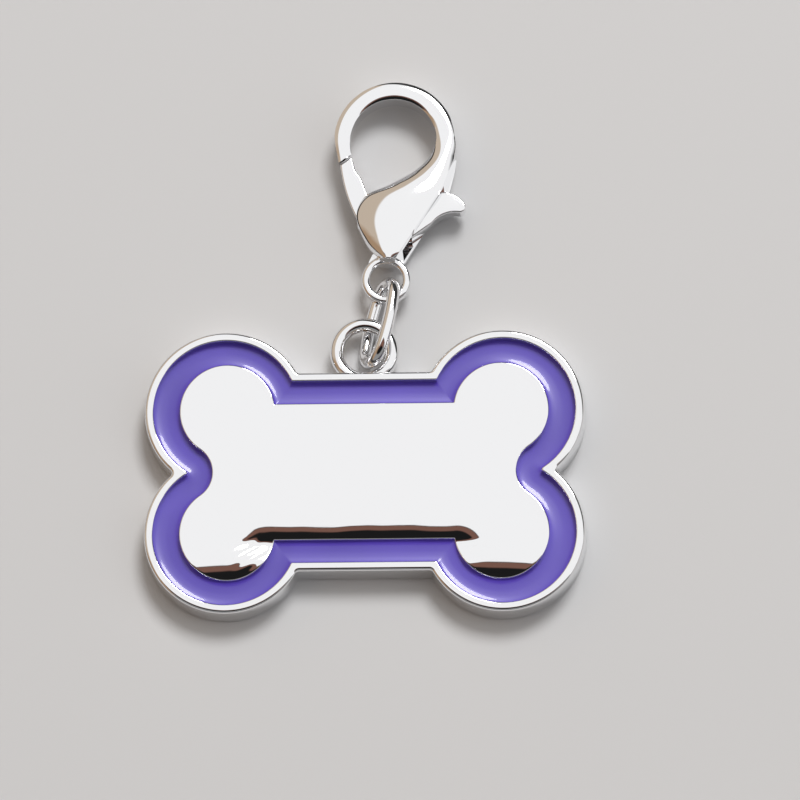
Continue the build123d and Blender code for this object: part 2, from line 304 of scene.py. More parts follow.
def prism(name, outline, low, high):
    """A closed upright prism on a plan outline."""
    return skinned(name, [at_height(outline, low), at_height(outline, high)])


def combine(piece, tool, operation):
    """Joins a tool to a piece, or cuts it away, and deletes the tool."""
    step = piece.modifiers.new("combine", "BOOLEAN")
    step.operation = operation
    step.solver = "EXACT"
    step.object = tool
    evaluated = piece.evaluated_get(bpy.context.evaluated_depsgraph_get())
    mesh = bpy.data.meshes.new_from_object(evaluated)
    piece.modifiers.clear()
    piece.data = mesh
    bpy.data.objects.remove(tool)
    smooth(mesh)


def fill_evenly(mesh):
    """Splits many-sided faces into well-shaped triangles."""
    work = bmesh.new()
    work.from_mesh(mesh)
    large = [face for face in work.faces if len(face.verts) > 4]
    bmesh.ops.triangulate(work, faces=large, ngon_method="BEAUTY")
    work.to_mesh(mesh)
    work.free()


def rounded_plate(name, outline, middle_z, thick, edge_round):
    """A plate on a plan outline with rounded edges."""
    curve = bpy.data.curves.new(name, "CURVE")
    curve.dimensions = "2D"
    curve.fill_mode = "BOTH"
    curve.extrude = (thick / 2 - edge_round) * MM
    curve.bevel_depth = edge_round * MM
    curve.bevel_resolution = PLATE_BEVEL_STEPS
    curve.offset = -edge_round * MM
    spline = curve.splines.new("POLY")
    spline.points.add(len(outline) - 1)
    for point, plan in zip(spline.points, outline):
        point.co = (plan[0] * MM, plan[1] * MM, 0, 1)
    spline.use_cyclic_u = True
    drawn = in_scene(name, curve)
    bpy.context.view_layer.update()
    mesh = bpy.data.meshes.new_from_object(drawn.evaluated_get(bpy.context.evaluated_depsgraph_get()))
    bpy.data.objects.remove(drawn)
    mesh.transform(Matrix.Translation((0, 0, middle_z * MM)))
    work = bmesh.new()
    work.from_mesh(mesh)
    bmesh.ops.remove_doubles(work, verts=work.verts, dist=MERGE_DISTANCE)
    bmesh.ops.recalc_face_normals(work, faces=work.faces)
    work.to_mesh(mesh)
    work.free()
    smooth(mesh)
    return in_scene(name, mesh)


QUARTER = [radians(90 * i / ROUND_STEPS) for i in range(ROUND_STEPS + 1)]


def band_section(inner, outer, thick, edge_round):
    """Radius and height of points round a ring's rounded oblong section."""
    section = []
    for corner, (r_sign, z_sign) in enumerate(((1, 1), (-1, 1), (-1, -1), (1, -1))):
        r = (outer - edge_round) if r_sign > 0 else (inner + edge_round)
        middle = np.array((r, z_sign * (thick / 2 - edge_round)))
        section += arc(middle, edge_round, 90 * corner, 90 * corner + 90, ROUND_STEPS)
        section.append(middle + unit(90 * corner + 90) * edge_round)
    return section


def flat_ring(hole, band, thick, edge_round, middle, around):
    """Rings of points for a band about an upright axis, turned half a step to miss its middle lines."""
    section = band_section(hole, hole + band, thick, edge_round)
    rings = []
    for i in range(around):
        spoke = unit(360 * (i + 0.5) / around)
        rings.append(np.array([(spoke[0] * r, spoke[1] * r, z) for r, z in section]) + middle)
    return rings


# Where the loop, the link and the clasp's eye lie

LINK_LEAN_SIN, LINK_LEAN_COS = sin(radians(LINK_LEAN)), cos(radians(LINK_LEAN))
LINK_ALONG = np.array((sin(radians(LINK_TURN)), cos(radians(LINK_TURN)), 0))
LINK_SIDE = np.array((cos(radians(LINK_TURN)), -sin(radians(LINK_TURN)), 0))
LINK_UP = LINK_SIDE * LINK_LEAN_SIN + np.array((0, 0, LINK_LEAN_COS))
LINK_INNER_WIDTH = max(LOOP_THICK, EYE_THICK) + LINK_PLAY
WIRE_RISE = hypot(LINK_WIRE / 2 * LINK_LEAN_COS, LINK_WIDTH / 2 * LINK_LEAN_SIN)
WIRE_SPREAD = (LINK_INNER_WIDTH + LINK_WIRE) / 2
LINK_Z = WIRE_SPREAD * LINK_LEAN_COS + WIRE_RISE
LOOP_Z = 2 * WIRE_RISE + LOOP_CLEAR + LOOP_THICK / 2
CLASP_Z = max(BODY_THICK / 2 + LAY_CLEAR, 2 * WIRE_RISE + LOOP_CLEAR + EYE_THICK / 2)


def beside_link(start, along, across, z):
    """A point some way along and across the link from a start, at a given height."""
    plan = start + LINK_ALONG * along + LINK_SIDE * across
    return np.array((plan[0], plan[1], z))


LOOP_MIDDLE = np.array((0, BAR_HEIGHT / 2 + LOOP_STEP + LOOP_HOLE, LOOP_Z))
LINK_MIDDLE = beside_link(LOOP_MIDDLE, LINK_REACH, LINK_OFFSET, LINK_Z)
EYE_MIDDLE = beside_link(LINK_MIDDLE, EYE_REACH, EYE_OFFSET, CLASP_Z)


# Tag

LOBE = np.array((TAG_WIDTH / 2 - LOBE_RADIUS, LOBE_RADIUS - LOBE_OVERLAP / 2))
CHANNEL_FLOOR = TAG_THICK - CHANNEL_DEPTH
CENTRE_INSET = RIM_WIDTH + CHANNEL_WIDTH
CENTRE_RADIUS = LOBE_RADIUS - CENTRE_INSET - CENTRE_LOBE_EASE


def bone_outline(inset, notch_round, corner_round, lobe_ease=0.0):
    """The bone outline drawn in by inset, with its notches and bar corners rounded."""
    middle = LOBE - (lobe_ease, 0)
    radius = LOBE_RADIUS - inset - lobe_ease
    half = BAR_HEIGHT / 2 - inset
    reach = radius + corner_round
    corner_x = middle[0] - sqrt(reach**2 - (half + corner_round - middle[1]) ** 2)
    corner = np.array((corner_x, half + corner_round))
    notch = np.array((middle[0] + sqrt((radius + notch_round) ** 2 - middle[1] ** 2), 0))
    lobe_start, lobe_end = angle_of(corner - middle), angle_of(notch - middle)
    quarter = straight((0, half), (corner[0], half), BAR_STEPS)
    quarter += arc(corner, corner_round, -90, lobe_start - 180, CORNER_STEPS)
    quarter += arc(middle, radius, lobe_start, lobe_end, LOBE_STEPS)
    quarter += arc(notch, notch_round, lobe_end + 180, 180, NOTCH_STEPS)
    waist = np.array((notch[0] - notch_round, 0))
    upper = np.array(quarter)
    lower = np.array(quarter[:0:-1]) * (1, -1)
    right = np.vstack((upper, [waist], lower))
    foot = np.array([(0, -half)])
    left = right[:0:-1] * (-1, 1)
    return np.vstack((right, foot, left))


def rim_ring(inset, z):
    return at_height(bone_outline(inset, OUTLINE_ROUND + inset, OUTLINE_ROUND + inset), z)


def channel_ring(inset, z):
    return at_height(bone_outline(inset, CHANNEL_ROUND, CHANNEL_ROUND), z)


def centre_ring(inset, z):
    waist, corner = CENTRE_WAIST + inset, CENTRE_CORNER + inset
    return at_height(bone_outline(CENTRE_INSET + inset, waist, corner, CENTRE_LOBE_EASE), z)


def roll_off(start, y, width, drop):
    """A fall that steepens from a start line down to its edge and levels out beyond."""
    down = np.clip((start - y) / width, 0, 1 + FALL_RUN_OUT)
    past = down - 1
    return drop * np.where(past < 0, down**2, 1 + 2 * past - past**2 / FALL_RUN_OUT)


def uneven(x):
    """Waves in the line where the face starts to fall."""
    return sum(height * np.sin(rate * x + phase) for height, rate, phase in FALL_WAVES)


def bar_fall(x, y):
    """The face's fall along the bar's lower edge, which runs out in the lobes."""
    edge = CENTRE_INSET - BAR_HEIGHT / 2
    corner_x = LOBE[0] - CENTRE_LOBE_EASE - sqrt(CENTRE_RADIUS**2 - (edge + LOBE[1]) ** 2)
    beyond = np.clip((np.abs(x) - corner_x) / np.where(x < 0, *FALL_CURL), 0, 1)
    below = np.maximum(edge - y, 0)
    fall = roll_off(edge + BAR_FALL[0] + uneven(x), y, *BAR_FALL)
    return fall * (1 - beyond**2 * (3 - 2 * beyond)) * np.exp(-(below / FALL_RETURN) ** 2)


def lobe_fall(x, y):
    """The face's fall at the foot of each lower lobe."""
    edge = -LOBE[1] - CENTRE_RADIUS
    tilt = LOBE_FALL_TILT * (LOBE[0] - np.abs(x))
    return roll_off(edge + LOBE_FALL[0] + tilt + uneven(x) / 2, y, *LOBE_FALL)


def ripples(x, y):
    """Polishing ripples that fade out round their place."""
    across = RIPPLE_WAY[0] * x + RIPPLE_WAY[1] * y
    aside = (x - RIPPLE_PLACE[0]) ** 2 + (y - RIPPLE_PLACE[1]) ** 2
    return RIPPLE_HEIGHT * np.sin(2 * pi * across / RIPPLE_LENGTH) * np.exp(-aside / RIPPLE_REACH**2)


def face_fall(x, y):
    """How far the centre's face lies below its middle."""
    falls = bar_fall(x, y) ** FALL_BLEND + lobe_fall(x, y) ** FALL_BLEND
    return falls ** (1 / FALL_BLEND) + ripples(x, y)


def face_rings():
    """The centre's rounded edge and its face."""
    rings = [centre_ring(STEP_ROUND * (1 - cos(t)), TAG_THICK - STEP_ROUND * (1 - sin(t))) for t in QUARTER]
    for inset in np.linspace(STEP_ROUND, FACE_REACH, FACE_STEPS)[1:]:
        rings.append(centre_ring(inset, TAG_THICK))
    for ring in rings:
        ring[:, 2] -= face_fall(ring[:, 0], ring[:, 1])
    return rings


def tag_rings():
    """From the back, round the wall and rim, through the channel and up over the centre."""
    slope = radians(WALL_DRAFT)
    growth = (TAG_THICK - BACK_ROUND * (1 + sin(slope))) * tan(slope)
    back = [rim_ring(BACK_ROUND * (1 - sin(t)) - growth, BACK_ROUND * (1 - cos(t))) for t in QUARTER]
    rim = [rim_ring(RIM_ROUND * (1 - cos(t)), TAG_THICK - RIM_ROUND * (1 - sin(t))) for t in QUARTER]
    step = []
    for t in QUARTER:
        inset = RIM_WIDTH - STEP_ROUND * (1 - sin(t))
        step.append(channel_ring(inset, TAG_THICK - STEP_ROUND * (1 - cos(t))))
    channel = [channel_ring(RIM_WIDTH, CHANNEL_FLOOR), centre_ring(0, CHANNEL_FLOOR)]
    return back + rim + step + channel + face_rings()


def tag_body():
    """The plate with its loop, which is cut off where it has run into the rim."""
    piece = skinned("tag_casting", tag_rings())
    band = flat_ring(LOOP_HOLE, LOOP_BAND, LOOP_THICK, LOOP_ROUND, LOOP_MIDDLE, LOOP_AROUND)
    loop = skinned("loop", band, joined=True)
    root = BAR_HEIGHT / 2 - LOOP_ROOT
    inside = [(-FAR, root), (FAR, root), (FAR, -FAR), (-FAR, -FAR)]
    combine(loop, prism("root", inside, -FAR, FAR), "DIFFERENCE")
    combine(piece, loop, "UNION")
    fill_evenly(piece.data)
    return piece


def enamel_border():
    """The channel's filling, drawn up its walls, with finer steps towards them."""
    outer, inner = channel_ring(RIM_WIDTH, 0), centre_ring(0, 0)
    rings = [outer + (0, 0, CHANNEL_FLOOR)]
    for i in range(ENAMEL_STEPS + 1):
        share = 0.5 - 0.5 * cos(pi * i / ENAMEL_STEPS)
        near = min(share, 1 - share) * CHANNEL_WIDTH
        z = TAG_THICK - ENAMEL_SINK + MENISCUS_RISE * np.exp(-near / MENISCUS_REACH)
        rings.append(outer + (inner - outer) * share + (0, 0, z))
    rings.append(inner + (0, 0, CHANNEL_FLOOR))
    return skinned("enamel_fill", rings, joined=True)


# Link

def link_path():
    """Places on the wire's middle line in the link's plane, each with its outward angle."""
    end_middle = (LINK_INNER_LENGTH + LINK_WIRE) / 2 - LINK_END_RADIUS
    bulge = WIRE_SPREAD - LINK_END_RADIUS
    side_radius = (WIRE_SPREAD**2 + end_middle**2 - LINK_END_RADIUS**2) / (2 * bulge)
    side_middle = WIRE_SPREAD - side_radius
    half_side = degrees(atan2(end_middle, -side_middle))
    seam = degrees(LINK_SEAM / 2 / side_radius)
    path = []
    for middle, radius, start, end in (
        ((-side_middle, 0), side_radius, 180 + seam, 180 + half_side),
        ((0, -end_middle), LINK_END_RADIUS, 180 + half_side, 360 - half_side),
        ((side_middle, 0), side_radius, -half_side, half_side),
        ((0, end_middle), LINK_END_RADIUS, half_side, 180 - half_side),
        ((-side_middle, 0), side_radius, 180 - half_side, 180 - seam),
    ):
        for angle in np.linspace(start, end, LINK_ARC_STEPS, endpoint=False):
            path.append((middle + unit(angle) * radius, angle))
    # The end of the last stretch, at the seam's other side
    path.append((middle + unit(end) * radius, end))
    return path


def connecting_link():
    """The wire along its path, open at the seam."""
    across = np.cross(LINK_UP, LINK_ALONG)
    rings = []
    for place, outward in link_path():
        ring = []
        for i in range(WIRE_AROUND):
            turn = unit(360 * i / WIRE_AROUND)
            up, along = place + unit(outward) * turn[0] * LINK_WIRE / 2
            aside = turn[1] * LINK_WIDTH / 2
            ring.append(LINK_MIDDLE + LINK_UP * up + LINK_ALONG * along + across * aside)
        rings.append(np.array(ring))
    return skinned("oval_link", rings)


# Clasp body

THICK_COLUMN = 4            # of a section's row: two edges, thickness, squareness and wall


def clasp_point(plan, z=0.0):
    return EYE_MIDDLE + np.array((plan[0], plan[1], z))


def clasp_outline(points):
    return [EYE_MIDDLE[:2] + np.asarray(p) for p in points]


def pivot_circle(radius):
    """Outline of a circle about the lever's pivot."""
    return clasp_outline(PIVOT + unit(360 * i / PIN_AROUND) * radius for i in range(PIN_AROUND))


def hook_tip():
    """Inner and outer end of the hook's tip, which faces the pivot."""
    middle = ARCH + unit(HOOK_TIP_ANGLE) * (ARCH_RADIUS - HOOK_TIP_WIDTH / 2)
    across = unit(angle_of(middle - PIVOT) + 90) * HOOK_TIP_WIDTH / 2
    return middle - across, middle + across


def clasp_stations():
    """Inner edge, outer edge, thickness, squareness and wall of each given section of the casting."""
    inner, outer = hook_tip()
    stations = [(*inner, *outer, HOOK_TIP_THICK, HOOK_POWER, HOOK_WALL)]
    for step in range(1, HOOK_SECTIONS):
        share = step / (HOOK_SECTIONS - 1)
        spoke = unit(HOOK_TIP_ANGLE * (1 - share))
        width = HOOK_TIP_WIDTH + (HOOK_ARM_WIDTH - HOOK_TIP_WIDTH) * share
        outer = ARCH + spoke * ARCH_RADIUS
        stations.append((*(outer - spoke * width), *outer, HOOK_THICK, HOOK_POWER, HOOK_WALL))
    for inner, outer, thick in BODY_SECTIONS:
        stations.append((*inner, *outer, thick, BODY_POWER, BODY_WALL))
    return np.array(stations)


def through(values):
    """Smooth curve through rows of values, with tangents from the neighbours on each side."""
    gaps = np.linalg.norm(np.diff((values[:, 0:2] + values[:, 2:4]) / 2, axis=0), axis=1)
    place = np.concatenate(([0], np.cumsum(gaps)))
    tangents = np.gradient(values, place, axis=0)
    rows = []
    for i, gap in enumerate(gaps):
        for t in np.arange(SPAN_STEPS) / SPAN_STEPS:
            start = (2 * t**3 - 3 * t**2 + 1) * values[i] + (t**3 - 2 * t**2 + t) * gap * tangents[i]
            end = (3 * t**2 - 2 * t**3) * values[i + 1] + (t**3 - t**2) * gap * tangents[i + 1]
            rows.append(start + end)
    rows.append(values[-1])
    return np.array(rows)


def clasp_ring(row, shrink=0.0):
    """One section of the casting: a rounded top and bottom between upright walls, drawn in by shrink."""
    inner, outer = row[0:2], row[2:4]
    thick, power, wall = row[THICK_COLUMN:]
    chord = outer - inner
    half = chord / 2 * (1 - 2 * shrink / np.linalg.norm(chord))
    wall_foot = (1 - wall**power) ** (1 / power)
    ring = []
    for i in range(SECTION_AROUND):
        turn = unit(360 * i / SECTION_AROUND)
        bend = np.sign(turn) * np.abs(turn) ** (2 / power)
        across = np.clip(bend[0] / wall_foot, -1, 1)
        ring.append(clasp_point((inner + outer) / 2 + half * across, bend[1] * (thick / 2 - shrink)))
    return np.array(ring)


def onward(row, following):
    """Unit step from the middle of one section to the middle of the next."""
    step = (following[0:2] + following[2:4] - row[0:2] - row[2:4]) / 2
    return np.array((*step, 0)) / np.linalg.norm(step)


def casting_rings():
    """Sections from the hook's chamfered tip round the arch and down the body to its rounded end."""
    rows = through(clasp_stations())
    rows[:, THICK_COLUMN] = np.minimum(rows[:, THICK_COLUMN], BODY_THICK)
    rings = [clasp_ring(rows[0], HOOK_TIP_EDGE)]
    rings.append(clasp_ring(rows[0]) + onward(*rows[:2]) * HOOK_TIP_EDGE)
    rings += [clasp_ring(row) for row in rows[1:]]
    end = onward(*rows[-2:])
    for t in QUARTER[1:]:
        rings.append(clasp_ring(rows[-1], BODY_END_ROUND * (1 - cos(t))) + end * BODY_END_ROUND * sin(t))
    return rings


def cut_cheeks(piece):
    """Trims the body's right side along a straight line, the rear cheek less than the front one."""
    edge = (CHEEK_TOP - CHEEK_FOOT) / np.linalg.norm(CHEEK_TOP - CHEEK_FOOT)
    beside = np.array((edge[1], -edge[0]))
    for low, high, proud in ((-SLOT_HALF, FAR, 0), (-FAR, -SLOT_HALF, REAR_CHEEK_PROUD)):
        foot, top, run = (point + beside * proud for point in (CHEEK_FOOT, CHEEK_TOP, CHEEK_RUN))
        start = foot - edge * FAR
        waste = clasp_outline((start, start + beside * FAR, run + beside * FAR, run, top))
        combine(piece, prism("waste", waste, CLASP_Z + low, CLASP_Z + high), "DIFFERENCE")


def add_eye(piece):
    """Joins the eye's band to the body, with the neck between them, which stays out of the eye's hole."""
    band = flat_ring(EYE_HOLE, EYE_BAND, EYE_THICK, EYE_ROUND, EYE_MIDDLE, EYE_AROUND)
    combine(piece, skinned("eye", band, joined=True), "UNION")
    low, high = EYE_HOLE - EYE_BAND / 4, EYE_HOLE + EYE_BAND / 4
    right = [(EYE_HOLE / 2, high), (EYE_HOLE, low), (NECK_HALF, high), (CHEEK_FOOT[0], SLOT_FLOOR)]
    left = [(-x, y) for x, y in right[::-1]]
    half = EYE_THICK / 2 - EYE_ROUND
    combine(piece, prism("neck", clasp_outline(right + left), CLASP_Z - half, CLASP_Z + half), "UNION")


def cut_slot(piece):
    """Cuts the lever's slot and the blind hole for its pin."""
    slot = prism("slot", clasp_outline(SLOT_OUTLINE), CLASP_Z - SLOT_HALF, CLASP_Z + SLOT_HALF)
    combine(piece, slot, "DIFFERENCE")
    hole = prism("pin_hole", pivot_circle(PIN_RADIUS), -FAR, CLASP_Z + SLOT_HALF + PIN_BLIND)
    combine(piece, hole, "DIFFERENCE")


def clasp_body():
    piece = skinned("clasp_casting", casting_rings())
    cut_cheeks(piece)
    add_eye(piece)
    cut_slot(piece)
    return piece


# Gate lever

def lever_outline():
    """From the heel round the thumb piece, along the top, out to the gate's tip and back round the hub."""
    tip_inner, tip_outer = hook_tip()
    tip_middle = (tip_inner + tip_outer) / 2 - PIVOT
    tip_radius = np.linalg.norm(tip_middle) - GATE_TIP_CLEAR
    half_turn = degrees(asin((HOOK_TIP_WIDTH / 2 - GATE_TIP_INSET) / tip_radius))
    gate_angle = angle_of(tip_middle)
    tip = [PIVOT + unit(gate_angle + turn) * tip_radius for turn in (-half_turn, 0, half_turn)]
    hub = [PIVOT + unit(angle) * HUB_RADIUS for angle in HUB_ARC]
    outline = straight(HEEL, THUMB_UNDER[0], UNDER_STEPS)
    outline += three_point_arc(*THUMB_UNDER, THUMB_STEPS)
    outline += three_point_arc(THUMB_UNDER[-1], THUMB_TIP, THUMB_TOP[0], THUMB_STEPS)
    outline += three_point_arc(*THUMB_TOP, THUMB_STEPS)
    corners = [THUMB_TOP[-1], *LEVER_TOP, *GATE_INNER, tip[0]]
    for start, end in zip(corners, corners[1:]):
        outline += straight(start, end, LEVER_TOP_STEPS)
    outline += three_point_arc(*tip, GATE_TIP_STEPS)
    outline += three_point_arc(tip[-1], GATE_BULGE, GATE_ROOT, BULGE_STEPS)
    outline += straight(GATE_ROOT, hub[0], HUB_SIDE_STEPS)
    outline += three_point_arc(*hub, HUB_STEPS)
    outline += straight(hub[-1], HEEL, HUB_SIDE_STEPS)
    return outline


def gate_lever():
    plan = clasp_outline(lever_outline())
    piece = rounded_plate("gate_and_thumb_lever", plan, CLASP_Z, LEVER_THICK, LEVER_ROUND)
    bore = prism("bore", pivot_circle(PIN_RADIUS + PIN_RUNNING_CLEAR), -FAR, FAR)
    combine(piece, bore, "DIFFERENCE")
    return piece


# Pin and spring

def pivot_pin():
    """A pin with chamfered ends and a dimple at its rear."""
    low = CLASP_Z - BODY_THICK / 2 + PIN_RECESS
    high = CLASP_Z + SLOT_HALF + PIN_BLIND
    dimple_inner, dimple_outer, dimple_depth = PIN_DIMPLE
    profile = (
        (dimple_inner, low + dimple_depth),
        (dimple_outer, low),
        (PIN_RADIUS - PIN_CHAMFER, low),
        (PIN_RADIUS, low + PIN_CHAMFER),
        (PIN_RADIUS, high - PIN_CHAMFER),
        (PIN_RADIUS - PIN_CHAMFER, high),
    )
    return skinned("lever_pin", [at_height(pivot_circle(radius), z) for radius, z in profile])


def gate_spring():
    """A bent leaf: one leg on the slot's floor, the other under the lever's heel."""
    foot_y = SLOT_FLOOR + SPRING_CLEAR + SPRING_THICK / 2
    tip = np.array((SPRING_TIP_X, HEEL[1] - SPRING_CLEAR - SPRING_THICK))
    fold = np.array((SPRING_FOLD_X, foot_y + SPRING_BEND))
    reach = tip - fold
    touch_angle = angle_of(reach) + degrees(acos(SPRING_BEND / np.linalg.norm(reach)))
    touch = fold + unit(touch_angle) * SPRING_BEND
    line = straight((SPRING_FOOT_X, foot_y), fold - (0, SPRING_BEND), SPRING_LEG_STEPS)
    line += arc(fold, SPRING_BEND, 270, touch_angle, SPRING_FOLD_STEPS)
    line += straight(touch, tip, SPRING_LEG_STEPS) + [tip]
    line = np.array(line)
    ahead = np.gradient(line, axis=0)
    ahead /= np.linalg.norm(ahead, axis=1)[:, None]
    aside = np.column_stack((-ahead[:, 1], ahead[:, 0])) * SPRING_THICK / 2
    outline = clasp_outline(np.vstack((line + aside, (line - aside)[::-1])))
    return prism("closing_spring", outline, CLASP_Z - SPRING_WIDTH / 2, CLASP_Z + SPRING_WIDTH / 2)


# Finishes: colours, roughness, and the scale per metre and height in millimetres of noise in them

NOISE_RANGE = (0.3, 0.7)    # where most of a noise's values lie
PLATING = (0.87, 0.87, 0.88)
PLATING_ROUGHNESS = (0.02, 0.06)
HAZE_SCALE = 350
HAZE_DETAIL = 4
SCRATCH_SCALE = 900
SCRATCH_STRETCH = (1, 14, 1)
SCRATCH_HEIGHT = 0.0002
PLATE_WAVE_SCALE = 90
PLATE_WAVE_HEIGHT = 0.02
CASTING_WAVE_SCALE = 220
CASTING_WAVE_HEIGHT = 0.006
WAVE_DETAIL = 1
ENAMEL_DEEP = (0.077, 0.044, 0.428)
ENAMEL_LIGHT = (0.093, 0.0535, 0.497)
ENAMEL_TONE_SCALE = 140
ENAMEL_WAVE_SCALE = 260
ENAMEL_WAVE_HEIGHT = 0.004
ENAMEL_ROUGHNESS = 0.32
ENAMEL_COAT = 0.6
ENAMEL_COAT_ROUGHNESS = 0.06
STEEL_DARK = (0.46, 0.46, 0.48)
STEEL_LIGHT = (0.64, 0.64, 0.66)
STEEL_ROUGHNESS = (0.22, 0.4)
GRAIN_SCALE = 1500
GRAIN_DETAIL = 3
GRAIN_STRETCH = (1, 1, 12)
GRAIN_HEIGHT = 0.002
FLOOR_GREY = (0.63, 0.63, 0.635)
FLOOR_ROUGHNESS = 0.8


def new_material(name, **uniform):
    """A material, its nodes and its shader, with the values that are the same all over it."""
    material = bpy.data.materials.new(name)
    material.use_nodes = True
    shader = material.node_tree.nodes["Principled BSDF"]
    for socket, value in uniform.items():
        shader.inputs[socket.replace("_", " ")].default_value = value
    return material, material.node_tree, shader


def noise(tree, scale, detail=2.0, stretch=(1, 1, 1)):
    """A noise in the object's own coordinates."""
    place = tree.nodes.new("ShaderNodeTexCoord")
    mapping = tree.nodes.new("ShaderNodeMapping")
    mapping.inputs["Scale"].default_value = stretch
    texture = tree.nodes.new("ShaderNodeTexNoise")
    texture.inputs["Scale"].default_value = scale
    texture.inputs["Detail"].default_value = detail
    tree.links.new(place.outputs["Object"], mapping.inputs["Vector"])
    tree.links.new(mapping.outputs["Vector"], texture.inputs["Vector"])
    return texture.outputs["Fac"]


def between(tree, source, low, high, source_range=NOISE_RANGE):
    """Maps a value from its range onto another one."""
    span = tree.nodes.new("ShaderNodeMapRange")
    span.inputs["From Min"].default_value = source_range[0]
    span.inputs["From Max"].default_value = source_range[1]
    span.inputs["To Min"].default_value = low
    span.inputs["To Max"].default_value = high
    tree.links.new(source, span.inputs["Value"])
    return span.outputs["Result"]


def bump(tree, relief, height, under=None):
    """A relief of the given height, on top of another one if there is one."""
    bumped = tree.nodes.new("ShaderNodeBump")
    bumped.inputs["Strength"].default_value = 1.0
    bumped.inputs["Distance"].default_value = height * MM
    tree.links.new(relief, bumped.inputs["Height"])
    if under:
        tree.links.new(under, bumped.inputs["Normal"])
    return bumped.outputs["Normal"]


def mixed(tree, share, first, second):
    """The first colour where share is 0, the second where it is 1. Each is a colour or an output."""
    layer = tree.nodes.new("ShaderNodeMix")
    layer.data_type = "RGBA"
    for socket, colour in (("A", first), ("B", second)):
        if isinstance(colour, tuple):
            layer.inputs[socket].default_value = (*colour, 1)
        else:
            tree.links.new(colour, layer.inputs[socket])
    tree.links.new(share, layer.inputs["Factor"])
    return layer.outputs["Result"]


def plated_metal(name, wave_scale, wave_height):
    """Polished plating: faint waves from the casting, hairline scratches and slight haze."""
    material, tree, shader = new_material(name, Metallic=1.0, Base_Color=(*PLATING, 1))
    haze = noise(tree, HAZE_SCALE, HAZE_DETAIL)
    tree.links.new(between(tree, haze, *PLATING_ROUGHNESS), shader.inputs["Roughness"])
    waves = bump(tree, noise(tree, wave_scale, WAVE_DETAIL), wave_height)
    scratches = noise(tree, SCRATCH_SCALE, stretch=SCRATCH_STRETCH)
    tree.links.new(bump(tree, scratches, SCRATCH_HEIGHT, waves), shader.inputs["Normal"])
    return material


def purple_enamel():
    """Glossy enamel, faintly uneven in tone and surface."""
    material, tree, shader = new_material(
        "purple_enamel",
        Roughness=ENAMEL_ROUGHNESS,
        Coat_Weight=ENAMEL_COAT,
        Coat_Roughness=ENAMEL_COAT_ROUGHNESS,
    )
    tone = between(tree, noise(tree, ENAMEL_TONE_SCALE), 0, 1)
    tree.links.new(mixed(tree, tone, ENAMEL_DEEP, ENAMEL_LIGHT), shader.inputs["Base Color"])
    waves = noise(tree, ENAMEL_WAVE_SCALE, WAVE_DETAIL)
    tree.links.new(bump(tree, waves, ENAMEL_WAVE_HEIGHT), shader.inputs["Normal"])
    return material


def plain_steel():
    """Bare drawn steel with a fine grain."""
    material, tree, shader = new_material("plain_steel", Metallic=1.0)
    grain = noise(tree, GRAIN_SCALE, GRAIN_DETAIL, GRAIN_STRETCH)
    tone = between(tree, grain, 0, 1)
    tree.links.new(mixed(tree, tone, STEEL_DARK, STEEL_LIGHT), shader.inputs["Base Color"])
    tree.links.new(between(tree, grain, *STEEL_ROUGHNESS), shader.inputs["Roughness"])
    tree.links.new(bump(tree, grain, GRAIN_HEIGHT), shader.inputs["Normal"])
    return material


# Pieces on their bodies

plate_metal = plated_metal("plated_plate", PLATE_WAVE_SCALE, PLATE_WAVE_HEIGHT)
small_metal = plated_metal("plated_casting", CASTING_WAVE_SCALE, CASTING_WAVE_HEIGHT)
steel = plain_steel()
made = {}
for make, body, node, slot, material in (
    (tag_body, "tag", "tag_body", "plated_metal", plate_metal),
    (enamel_border, "tag", "enamel_border", "enamel", purple_enamel()),
    (connecting_link, "link", "connecting_link", "plated_metal", small_metal),
    (clasp_body, "clasp", "clasp_body", "plated_metal", small_metal),
    (gate_lever, "lever", "gate_lever", "plated_metal", small_metal),
    (pivot_pin, "clasp", "pivot_pin", "plain_steel", steel),
    (gate_spring, "clasp", "gate_spring", "plain_steel", steel),
):
    piece = make()
    piece.data.materials.clear()
    piece.data.materials.append(material)
    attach(piece, body)
    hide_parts(node)
    made[node] = piece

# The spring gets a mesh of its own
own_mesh(made["gate_spring"])


# Floor

FLOOR_HALF = 3.0            # metres


def pale_floor():
    low, high = -FLOOR_HALF, FLOOR_HALF
    mesh = bpy.data.meshes.new("floor")
    mesh.from_pydata([(low, low, 0), (high, low, 0), (high, high, 0), (low, high, 0)], [], [(0, 1, 2, 3)])
    material = new_material("pale_floor", Base_Color=(*FLOOR_GREY, 1), Roughness=FLOOR_ROUGHNESS)[0]
    mesh.materials.append(material)
    in_scene("floor", mesh)


pale_floor()


# Light: a white tent with a dark gap in front, sandy on the left and dim at the rear right, and a soft lamp

WHITE, PALE, DIM, BLACK = (1.0,) * 3, (0.28,) * 3, (0.05,) * 3, (0.012,) * 3
BROWN, SAND, PALE_SAND = (0.2, 0.1, 0.075), (0.4, 0.27, 0.17), (0.58, 0.48, 0.38)
NONE, FULL = (0.0,) * 3, (1.0,) * 3
FRONT_TO_REAR = (           # 0 is level in front, 0.5 overhead and 1 level behind
    (0.0, BLACK), (0.385, BLACK), (0.40, BROWN), (0.452, BROWN), (0.458, BLACK),
    (0.467, WHITE), (1.0, WHITE),
)
SIDE_FRONT_TO_REAR = ((0.0, SAND), (0.47, SAND), (0.55, PALE_SAND))
REAR_WAYS = ((0, 1, 0), (0.35, 1, 0))   # the white reaches further forward on the right
FRONT_EDGE = (0.46, 0.467)      # from front to rear, where the front ends
STEEP_EDGE = (0.64, 0.72)       # height, below which the front is pale
LEFT_WAY = (-0.93, 0.37, 0)
LEFT_EDGE = (0.42, 0.47)
RIGHT_WAY = (0.55, 0.83, 0)
